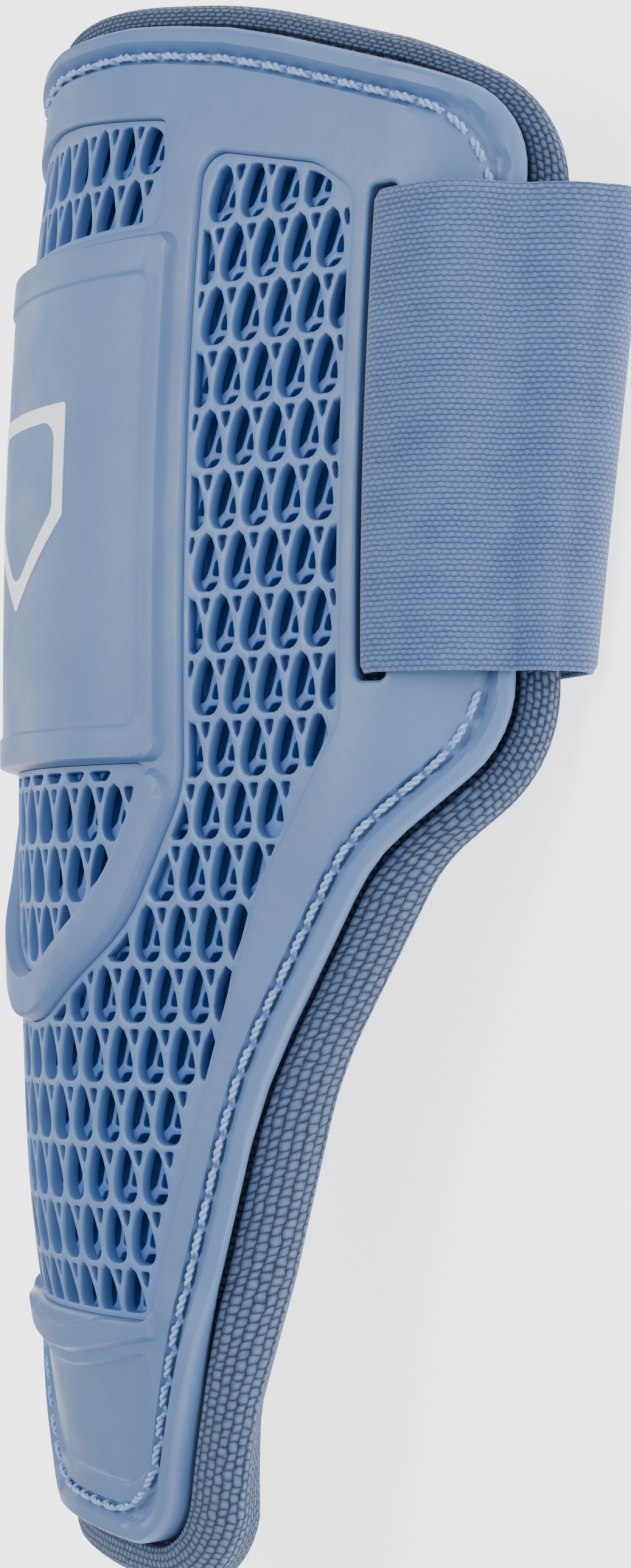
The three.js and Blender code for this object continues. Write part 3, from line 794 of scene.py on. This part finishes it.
# Least room round the middle of a cell that the panel's edge cuts
CELL_ROOM = 0.7
WEDGE_ROOM = 0.35
# Places of a cell's middle that are tried, as shares of its width and height
MIDDLE_SHARES = [
    (0.5, 0.4), (0.3, 0.35), (0.7, 0.35), (0.5, 0.2), (0.5, 0.65),
    (0.2, 0.3), (0.8, 0.3), (0.5, 0.78), (0.5, 0.1),
]
LEAST_STEP = 0.02
LEAST_SPOKE = 0.05
OPEN_SPOKE = 0.1
PANEL_GAP = 0.1
PANEL_WALL = 0.8
PANEL_RINGS = [0, 0.35]
PANEL_GRID = 1.3
PANEL_GRID_GAP = 0.45
# No cell reaches further than this from its middle
CELL_REACH = 8


def spoke_lengths(centre, directions, ring):
    """Distance from the centre to a closed line, along each direction."""
    a = ring - centre
    side = np.roll(ring, -1, axis=0) - ring
    turn = directions[:, None, 0] * side[None, :, 1] - directions[:, None, 1] * side[None, :, 0]
    with np.errstate(divide="ignore", invalid="ignore"):
        far = (a[:, 0] * side[:, 1] - a[:, 1] * side[:, 0]) / turn
        share = (a[None, :, 0] * directions[:, None, 1] - a[None, :, 1] * directions[:, None, 0]) / turn
    hit = (np.abs(turn) > 1e-12) & (far > 1e-9) & (share >= -1e-9) & (share <= 1 + 1e-9)
    return np.where(hit, far, np.inf).min(axis=1)


def convex_inset(centre, directions, ring, distance):
    """Spoke lengths of a convex line moved inward."""
    side = np.roll(ring, -1, axis=0) - ring
    normal = np.stack([side[:, 1], -side[:, 0]], axis=1) / np.linalg.norm(side, axis=1)[:, None]
    support = (normal * (ring - centre)).sum(1) - distance
    facing = directions @ normal.T
    return np.where(facing > 1e-6, support / np.maximum(facing, 1e-6), np.inf).min(axis=1)


def cell_rings(shape, spokes, steps, limits, least_room):
    """Middle and rings of one cell, cut at the panel's edge; None where too little of it is left."""
    low, high = shape.min(0), shape.max(0)
    tries = np.array([low + (high - low) * share for share in MIDDLE_SHARES])
    room = np.minimum(depth_inside(tries, limits[0]), depth_inside(tries, shape))
    best = int(room.argmax())
    if room[best] < least_room:
        return None
    centre = tries[best]
    angles = np.arange(spokes) * 2 * math.pi / spokes
    directions = np.stack([np.cos(angles), np.sin(angles)], axis=1)
    rings = []
    reach = np.full(spokes, np.inf)
    for (distance, depth), limit in zip(steps, limits):
        length = np.minimum(
            convex_inset(centre, directions, shape, distance), spoke_lengths(centre, directions, limit),
        )
        length = np.where(np.isfinite(length), length, OPEN_SPOKE)
        reach = np.maximum(np.minimum(length, reach - LEAST_STEP), LEAST_SPOKE)
        rings.append((centre + directions * reach[:, None], depth))
    return centre, rings


def panel_cells(window, shape, upper, spokes, steps, least_room):
    """All cells of one shape in a panel. In the lower layer they are turned round and moved."""
    shift = np.zeros(2) if upper else LOWER_SHIFT
    shape = shape if upper else (shape * [1, -1])[::-1]
    wall = PANEL_GAP + PANEL_WALL
    limits = [outline(inset(window, wall + distance), FINE_SPACING) for distance, _ in steps]
    reach = outline(window)
    low, high = reach.min(0), reach.max(0)
    cells = []
    first = math.floor((low[1] - FIRST_FOOT) / CELL_ALONG) - 1
    last = math.ceil((high[1] - FIRST_FOOT) / CELL_ALONG) + 1
    for row in range(first, last):
        stagger = 0.5 if row % 2 else 0
        for column in range(math.floor(low[0] / CELL_ACROSS) - 1, math.ceil(high[0] / CELL_ACROSS) + 2):
            placed = shape + (shift + [(column + stagger) * CELL_ACROSS, FIRST_FOOT + row * CELL_ALONG])
            if depth_inside(placed, limits[0]).max() < 0:
                continue
            cell = cell_rings(placed, spokes, steps, limits, least_room)
            if cell is not None:
                cells.append(cell)
    return cells


def skirt(edge, face_level, first):
    """Points and faces of the wall round a panel; first is the number of its first point."""
    count = len(edge)
    faces = []
    for i in range(count):
        j = (i + 1) % count
        faces.append((first + j, first + i, first + i + count, first + j + count))
    return np.concatenate([with_level(edge, face_level), with_level(edge, face_level - LAYER_DROP)]), faces


def cell_walls(cell, face_level, first, through):
    """Points and faces of a cell's walls, and of its floor unless it is cut through."""
    centre, rings = cell
    spokes = len(rings[0][0])
    points = np.concatenate([with_level(ring, face_level - depth) for ring, depth in rings])
    faces = []
    for base in range(first, first + (len(rings) - 1) * spokes, spokes):
        for i in range(spokes):
            j = (i + 1) % spokes
            faces.append((base + j, base + spokes + j, base + spokes + i, base + i))
    if not through:
        hub = first + len(points)
        base = hub - spokes
        faces += [(base + i, base + (i + 1) % spokes, hub) for i in range(spokes)]
        points = np.vstack([points, [*centre, face_level - rings[-1][1] - FLOOR_DIP]])
    return points, faces


def panel_face(window, edge, cells):
    """Flat triangles between a panel's cells."""
    mouths = [rings[0][0] for _, rings in cells]
    centres = np.array([centre for centre, _ in cells])

    def keep(middles):
        inside = depth_inside(middles, edge) > 0
        for centre, mouth in zip(centres, mouths):
            near = np.where(((middles - centre) ** 2).sum(1) < CELL_REACH ** 2)[0]
            if len(near):
                inside[near[depth_inside(middles[near], mouth) > 0]] = False
        return inside

    rings = offsets(inset(window, PANEL_GAP), PANEL_RINGS, FINE_SPACING) + mouths
    return triangulated(rings, grid_points(PANEL_GRID, rings, PANEL_GRID_GAP), keep)


def make_panel(name, window, upper):
    edge = outline(inset(window, PANEL_GAP), FINE_SPACING)
    face_level = -CORE_RECESS if upper else -CORE_RECESS - LAYER_DROP
    cell_steps = UPPER_STEPS if upper else LOWER_STEPS
    drops = panel_cells(window, CELL_OUTLINE, upper, CELL_SPOKES, cell_steps, CELL_ROOM)
    wedges = panel_cells(window, WEDGE_OUTLINE, upper, WEDGE_SPOKES, WEDGE_STEPS, WEDGE_ROOM)
    flat, faces = panel_face(window, edge, drops + wedges)
    points = with_level(flat, face_level)
    wall_points, walls = skirt(edge, face_level, len(points))
    blocks = [points, wall_points]
    every = [tuple(face) for face in faces] + walls
    count = len(points) + len(wall_points)
    for number, cell in enumerate(drops + wedges):
        cell_points, cell_faces = cell_walls(cell, face_level, count, upper and number < len(drops))
        blocks.append(cell_points)
        every += cell_faces
        count += len(cell_points)
    points = np.concatenate(blocks)
    piece = add_piece(name, laid(bent(points)), every, LATTICE_RUBBER, points[:, :2], sharp=None)
    # The depth attribute steers the painted shade that darkens the cells towards their bottoms.
    depth = piece.data.attributes.new("depth", "FLOAT", "POINT")
    depth.data.foreach_set("value", np.clip((-CORE_RECESS - points[:, 2]) / DEEPEST, 0, 1))
    join_close_points(piece, JOIN_DISTANCE)
    return piece


for panel, window in (("top", TOP_WINDOW), ("front", FRONT_WINDOW), ("sides", FLANK_WINDOW)):
    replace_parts(make_panel(f"honeycomb_{panel}_upper", window, True), f"honeycomb_{panel}")
    make_panel(f"honeycomb_{panel}_lower", window, False)


# Liner: a padded sheet whose rounded edge rolls up round the shell
EDGE_ROUND = 4.2
EDGE_STEPS = 8
SIDE_STEPS = 5
ROLL_STEPS = 14
ROLL_CROWN = 1.6
# The roll's outer side falls away from this share of its width
ROLL_FALL_START = 0.55
ROLL_FALL = 2.6
ROLL_FALL_RUN = 0.2
LINER_SHARPEST = 0.5
LINER_ARC_STEPS = 12
LINER_LINE_STEPS = 18
LINER_GRID = 3.2
LINER_GRID_GAP = 1.5
# Slow waves in the liner's underside: height, and lengths along and across
PAD_WAVE = 0.35
PAD_WAVE_ALONG = 9.0
PAD_WAVE_ACROSS = 7.0
PAD_WAVE_SHIFT = 1.3


def liner_depth(points):
    """Levels of liner points once it thins towards the tip."""
    share = np.clip(points[:, 1] / (LINER_FULL * SHELL_LENGTH), 0, 1)
    thickness = LINER_TIP + (1 - LINER_TIP) * share
    w = points[:, 2]
    return np.where(w < LINER_FACE, LINER_FACE + thickness * (w - LINER_FACE), w)


def matched_outline(corners):
    """An outline whose points match those of every other offset of the same corners."""
    arcs = [corner_arc(corners, i, LINER_SHARPEST, LINER_ARC_STEPS) for i in range(len(corners))]
    points = []
    for arc, after in zip(arcs, arcs[1:] + arcs[:1]):
        side = after[0] - arc[-1]
        points += arc[:-1]
        points += [arc[-1] + side * k / LINER_LINE_STEPS for k in range(LINER_LINE_STEPS)]
    return np.array(points)


def roll_profile():
    """Section of the rolled edge: share of its width from the inner side, and level."""
    start = ROLL_TOP - ROLL_CROWN
    profile = [(0, LINER_FACE), (0, start)]
    for k in range(1, ROLL_STEPS):
        angle = math.pi * k / ROLL_STEPS
        share = 0.5 - 0.5 * math.cos(angle)
        drop = ROLL_FALL * max(0, share - ROLL_FALL_START) ** 2 / ROLL_FALL_RUN
        profile.append((share, start + ROLL_CROWN * math.sin(angle / 2) - drop))
    return profile


def liner_rows():
    """Closed lines from the liner's face over its rolled edge to its floor, and the outermost line."""
    count = len(SHELL_EDGE)
    over = [LINER_OVER[min(i, count - 1 - i)] for i in range(count)]
    outer = matched_outline(offset_corners(SHELL_EDGE, over))
    inner = matched_outline(offset_corners(SHELL_EDGE, [ROLL_GAP] * count))
    profile = roll_profile()
    rows = [with_level(inner + (outer - inner) * share, level) for share, level in profile]
    foot = LINER_FLOOR + EDGE_ROUND
    top = profile[-1][1]
    rows += [with_level(outer, top + (foot - top) * k / SIDE_STEPS) for k in range(1, SIDE_STEPS + 1)]
    for k in range(1, EDGE_STEPS + 1):
        angle = math.pi / 2 * k / EDGE_STEPS
        back = EDGE_ROUND * (1 - math.cos(angle))
        line = matched_outline(offset_corners(SHELL_EDGE, [distance - back for distance in over]))
        rows.append(with_level(line, foot - EDGE_ROUND * math.sin(angle)))
    return np.array(rows), outer


def make_liner():
    rows, outer = liner_rows()
    row_count, count = rows.shape[:2]
    lengths = run_lengths(outer)
    steps = np.linalg.norm(np.diff(rows, axis=0), axis=2).mean(axis=1)
    across = np.concatenate([[0], np.cumsum(steps)])
    faces = closed_strip(row_count, count)
    blocks = [rows.reshape(-1, 3)]
    uv = [np.array([[lengths[i], across[j]] for j in range(row_count) for i in range(count)])]
    first = row_count * count
    for row, level, turned in ((0, LINER_FACE, False), (-1, LINER_FLOOR, True)):
        ring = rows[row][:, :2]
        grid = grid_points(LINER_GRID, [ring], LINER_GRID_GAP)
        flat, cover = triangulated([ring], grid, lambda middles, line=ring: depth_inside(middles, line) > 0)
        blocks.append(with_level(flat, level))
        uv.append(flat)
        faces += [tuple(face)[::-1] if turned else tuple(face) for face in cover + first]
        first += len(flat)
    points = np.concatenate(blocks)
    wave = PAD_WAVE * np.sin(points[:, 1] / PAD_WAVE_ALONG)
    wave = wave * np.sin(points[:, 0] / PAD_WAVE_ACROSS + PAD_WAVE_SHIFT)
    under = points[:, 2] < LINER_FACE - 1
    points[:, 2] = liner_depth(points) + np.where(under, wave - PAD_WAVE, 0)
    piece = add_piece("liner_pad", laid(bent(points)), faces, LINER_CLOTH, np.concatenate(uv), sharp=None)
    join_close_points(piece, JOIN_DISTANCE)
    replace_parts(piece, "liner")


make_liner()


# Strap: how far it stands off between slot and rim, and bulges between rim and turn
STRAP_ARCH = 1.8
STRAP_BULGE = 1.1
STRAP_EDGE_ROUND = 1.0
STRAP_EDGE_SHARE = 0.35
STRAP_ROWS = 61
TUCK_STEPS = 4
TURN_STEPS = 12
RUN_STEPS = 8
BACK_STEPS = 16


def strap_over_shell():
    """The strap's middle over the flat guard, from its tucked end out of the slot to the rim."""
    turn_radius = SHELL_THICKNESS / 2 + STRAP_LIFT
    tucked = -SHELL_THICKNESS / 2 - turn_radius
    line = [[FLANGE_EDGE + STRAP_TUCK * (1 - k / TUCK_STEPS), tucked] for k in range(TUCK_STEPS)]
    for k in range(TURN_STEPS + 1):
        angle = math.pi * k / TURN_STEPS
        line.append([
            FLANGE_EDGE - turn_radius * math.sin(angle),
            -SHELL_THICKNESS / 2 - turn_radius * math.cos(angle),
        ])
    bead_start = HALF_SPAN - BEAD_WIDTH
    for k in range(1, RUN_STEPS + 1):
        share = k / RUN_STEPS
        line.append([
            FLANGE_EDGE + share * (bead_start - FLANGE_EDGE),
            STRAP_LIFT + float(smooth_step(share)) * BEAD_HEIGHT + STRAP_ARCH * math.sin(math.pi * share),
        ])
    line.append([HALF_SPAN, STRAP_LIFT + BEAD_HEIGHT])
    return np.array(line)


def strap_line(along):
    """The strap's middle across one section, from its tucked end to the middle of its back."""
    flat = strap_over_shell()
    over = bent(np.column_stack([flat[:, 0], np.full(len(flat), along), flat[:, 1]]))[:, [0, 2]]
    side = float(section_at(along)[4])
    leave = over[-1]
    back = strap_back(along) + STRAP_THICKNESS / 2
    corner_x = leave[0] + (leave[1] - back) / math.tan(side)
    turned = math.pi - side
    centre = np.array([corner_x - STRAP_TURN * math.tan(turned / 2), back + STRAP_TURN])
    angles = [math.pi / 2 - side - turned * k / TURN_STEPS for k in range(TURN_STEPS + 1)]
    arc = [centre + STRAP_TURN * np.array([math.cos(angle), math.sin(angle)]) for angle in angles]
    outward = np.array([math.sin(side), math.cos(side)]) * STRAP_BULGE
    down = [
        leave + (arc[0] - leave) * k / TURN_STEPS + outward * math.sin(math.pi * k / TURN_STEPS)
        for k in range(1, TURN_STEPS)
    ]
    home = [arc[-1] + (np.array([0, back]) - arc[-1]) * k / BACK_STEPS for k in range(1, BACK_STEPS + 1)]
    return np.concatenate([over, down, arc, home])


def strap_section(along):
    """Upper and lower line of the whole strap across one section."""
    half = strap_line(along)
    middle = np.concatenate([half, half[:-1][::-1] * [-1, 1]])
    tangent = unit_rows(np.gradient(middle, axis=0))
    outward = np.stack([-tangent[:, 1], tangent[:, 0]], axis=1)
    edge = min(along - STRAP_LOW, STRAP_HIGH - along)
    soft = math.sqrt(max(0, 1 - (1 - min(edge / STRAP_EDGE_ROUND, 1)) ** 2))
    thickness = STRAP_THICKNESS * (STRAP_EDGE_SHARE + (1 - STRAP_EDGE_SHARE) * soft)
    return [middle + outward * thickness / 2, middle - outward * thickness / 2]


def band_faces(rows, length):
    """Faces of a closed band between two grids of points, the upper grid first."""
    under = rows * length
    faces = []
    for j in range(rows - 1):
        for a in range(j * length, (j + 1) * length - 1):
            b, c, d = a + 1, a + length + 1, a + length
            faces += [(a, b, c, d), (a + under, d + under, c + under, b + under)]
    borders = []
    for i in range(length - 1):
        borders += [(j * length + i, j * length + i + 1, j > 0) for j in (0, rows - 1)]
    for j in range(rows - 1):
        borders += [(j * length + i, (j + 1) * length + i, i == 0) for i in (0, length - 1)]
    for a, b, turned in borders:
        face = (a, a + under, b + under, b)
        faces.append(face[::-1] if turned else face)
    return faces


def make_strap():
    stations = np.linspace(STRAP_LOW, STRAP_HIGH, STRAP_ROWS)
    sections = np.array([strap_section(along) for along in stations])
    length = sections.shape[2]
    path = run_lengths(sections[STRAP_ROWS // 2].mean(axis=0))
    points, uv = [], []
    for face in (0, 1):
        for section, along in zip(sections, stations):
            line = section[face]
            points.append(np.column_stack([line[:, 0], np.full(length, along), line[:, 1]]))
            uv.append(with_level(path[:, None], along))
    faces = band_faces(STRAP_ROWS, length)
    points = laid(np.concatenate(points))
    piece = add_piece("strap_band", points, faces, STRAP_KNIT, np.concatenate(uv), sharp=None)
    join_close_points(piece, JOIN_DISTANCE / 10)
    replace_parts(piece, "strap")


make_strap()


# Stitches along the groove, each of two twisted strands that dip in at both ends
STITCH_PITCH = 5.4
STITCH_LENGTH = 4.7
STITCH_LEVEL = 0.15
STITCH_DIP = 1.6
STRAND_RADIUS = 0.34
STRAND_SPREAD = 0.9 * STRAND_RADIUS
STRAND_TURNS = 1.6
STRAND_SIDES = 7
STRAND_STEPS = 15


def strand_rows(centre, strand):
    """Rings of points round one strand; centre is its stitch's line on the flat guard."""
    share = np.linspace(0, 1, STRAND_STEPS)
    tangent = unit_rows(np.gradient(centre, axis=0))
    aside = np.stack([-tangent[:, 1], tangent[:, 0]], axis=1)
    turn = 2 * math.pi * STRAND_TURNS * share + strand * math.pi
    level = STITCH_LEVEL - STITCH_DIP * np.abs(2 * share - 1) ** 6
    axis = np.column_stack([
        centre + aside * (STRAND_SPREAD * np.cos(turn))[:, None],
        level + STRAND_SPREAD * np.sin(turn),
    ])
    run = unit_rows(np.gradient(axis, axis=0))
    first_side = with_level(aside, 0)
    first_side = unit_rows(first_side - run * (first_side * run).sum(1)[:, None])
    second_side = np.cross(run, first_side)
    return np.array([
        axis + STRAND_RADIUS * (math.cos(angle) * first_side + math.sin(angle) * second_side)
        for angle in np.arange(STRAND_SIDES) * 2 * math.pi / STRAND_SIDES
    ]).transpose(1, 0, 2)


def strand_faces():
    """Faces of one strand, with both its ends closed."""
    last = (STRAND_STEPS - 1) * STRAND_SIDES
    faces = closed_strip(STRAND_STEPS, STRAND_SIDES)
    faces.append(tuple(range(STRAND_SIDES))[::-1])
    faces.append(tuple(range(last, last + STRAND_SIDES)))
    return faces


def make_stitches():
    path = outline(inset(SHELL_EDGE, BEAD_WIDTH + GROOVE_WIDTH / 2), 0.5)
    closed = np.concatenate([path, path[:1]])
    travelled = run_lengths(closed)
    total = travelled[-1]
    number = round(total / STITCH_PITCH)
    share = np.linspace(0, 1, STRAND_STEPS)
    points, faces = [], []
    base = 0
    for stitch in range(number):
        along = (stitch * total / number + share * STITCH_LENGTH) % total
        centre = np.stack([np.interp(along, travelled, closed[:, k]) for k in (0, 1)], axis=1)
        beside_strap = STRAP_LOW - 1 < centre[0, 1] < STRAP_HIGH + 1
        if beside_strap and abs(centre[:, 0]).max() > FLANGE_EDGE - 2:
            continue
        for strand in (0, 1):
            points.append(strand_rows(centre, strand).reshape(-1, 3))
            faces += [tuple(base + i for i in face) for face in strand_faces()]
            base += len(points[-1])
    piece = add_piece("rim_stitches", laid(bent(np.concatenate(points))), faces, STITCH_THREAD, sharp=None)
    join_close_points(piece, JOIN_DISTANCE / 100)


make_stitches()


# Emblem: a plain five-sided home plate, printed as an outline in the plate's field
EMBLEM_CORNERS = [
    [-15.0, 191.0, 0.8], [15.0, 191.0, 0.8], [15.0, 172.0, 0.8], [0.0, 157.0, 0.8], [-15.0, 172.0, 0.8],
]
EMBLEM_STROKE = 2.8
EMBLEM_SPACING = 1.0
EMBLEM_GRID = 1.2
EMBLEM_GRID_GAP = 0.6
PRINT_PROUD = 0.14
PRINT_SUNK = 0.1


def make_emblem():
    outer = outline(EMBLEM_CORNERS, EMBLEM_SPACING)
    inner = outline(inset(EMBLEM_CORNERS, EMBLEM_STROKE), EMBLEM_SPACING)

    def keep(middles):
        return (depth_inside(middles, outer) > 0) & (depth_inside(middles, inner) < 0)

    grid = grid_points(EMBLEM_GRID, [outer, inner], EMBLEM_GRID_GAP)
    flat, faces = triangulated([outer, inner], grid, keep)
    level = PLATE_RISE - FIELD_DEPTH
    points = np.concatenate([with_level(flat, level + PRINT_PROUD), with_level(flat, level - PRINT_SUNK)])
    every = slab_faces(faces, len(flat))
    add_piece("plate_emblem", laid(bent(points)), every, PRINT_WHITE, np.concatenate([flat, flat]))


make_emblem()


# Floor and light
FLOOR_REACH = 15.0
WORLD_COLOUR = (0.97, 0.98, 1, 1)
WORLD_STRENGTH = 0.75
LIGHT_SIZE = (0.6, 0.8)
LIGHT_AIM = (0, 0, 0.03)


def make_floor():
    corners = [(x * FLOOR_REACH, y * FLOOR_REACH, 0) for x, y in ((-1, -1), (1, -1), (1, 1), (-1, 1))]
    mesh = bpy.data.meshes.new("floor")
    mesh.from_pydata(corners, [], [(0, 1, 2, 3)])
    mesh.materials.append(floor_material())
    floor = bpy.data.objects.new("floor", mesh)
    bpy.context.scene.collection.objects.link(floor)


def area_light(name, place, power):
    data = bpy.data.lights.new(name, "AREA")
    data.shape = "RECTANGLE"
    data.size, data.size_y = LIGHT_SIZE
    data.energy = power
    light = bpy.data.objects.new(name, data)
    light.location = place
    direction = Vector(LIGHT_AIM) - Vector(place)
    light.rotation_euler = direction.to_track_quat("-Z", "Y").to_euler()
    bpy.context.scene.collection.objects.link(light)


def make_lights():
    world = bpy.data.worlds.new("studio")
    world.use_nodes = True
    background = world.node_tree.nodes["Background"]
    background.inputs["Color"].default_value = WORLD_COLOUR
    background.inputs["Strength"].default_value = WORLD_STRENGTH
    bpy.context.scene.world = world
    area_light("key", (0.4, 0.2, 1.1), 13)
    area_light("rim", (-0.8, 0.1, 0.7), 3.5)


make_floor()
make_lights()
